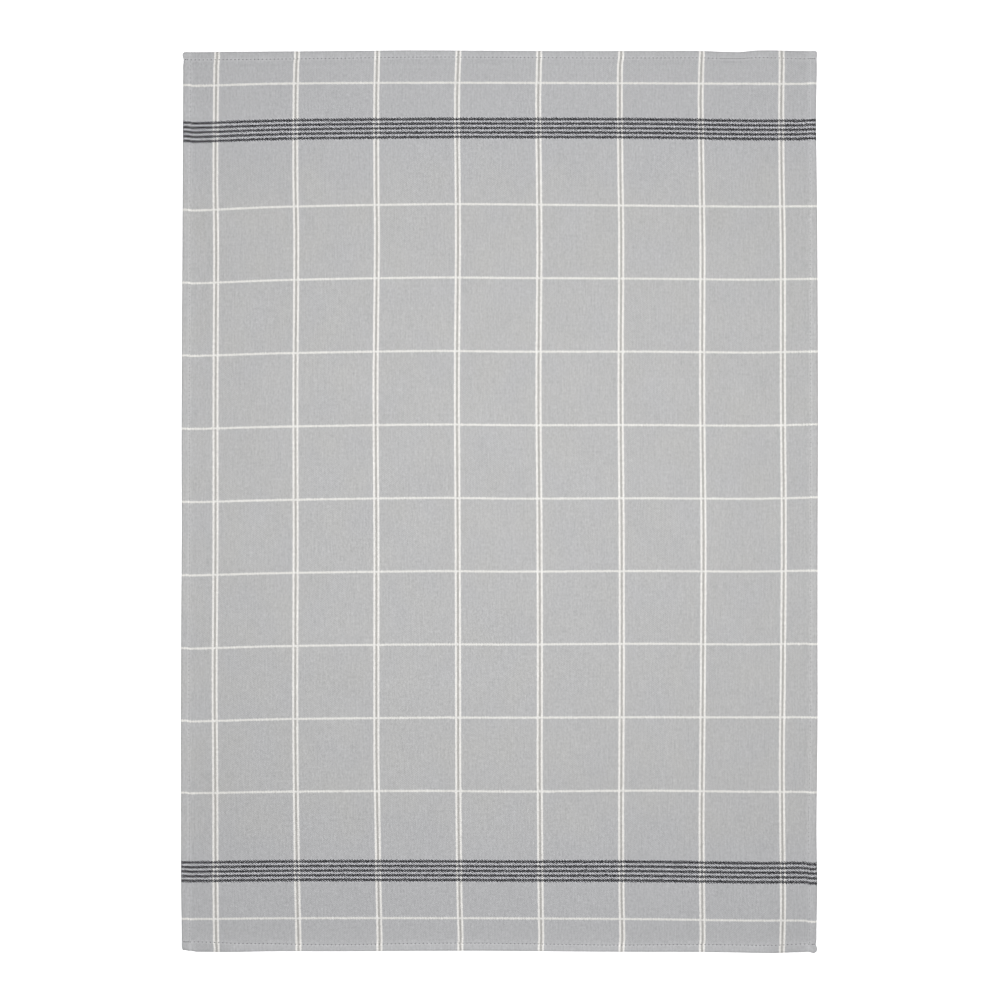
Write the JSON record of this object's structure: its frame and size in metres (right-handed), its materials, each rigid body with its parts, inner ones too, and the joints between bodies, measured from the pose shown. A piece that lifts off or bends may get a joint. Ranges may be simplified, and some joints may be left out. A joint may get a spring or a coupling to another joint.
{
  "type": "tea towel",
  "caption": "Flat rectangular woven cotton tea towel, grey with a white windowpane check, dark weft bands near both ends and narrow turned hems all round.",
  "frame": {"origin": "centre of the footprint, on the surface that the towel lies on", "axes": "+X across the width, +Y along the length and the warp, +Z out of the face"},
  "size_m": [0.4984, 0.7058, 0.0032],
  "materials": {
    "cloth": "matt cotton twill, grey with white check lines and charcoal weft bands"
  },
  "bodies": {
    "root": {"towel": "cloth"}
  },
  "joints": []
}
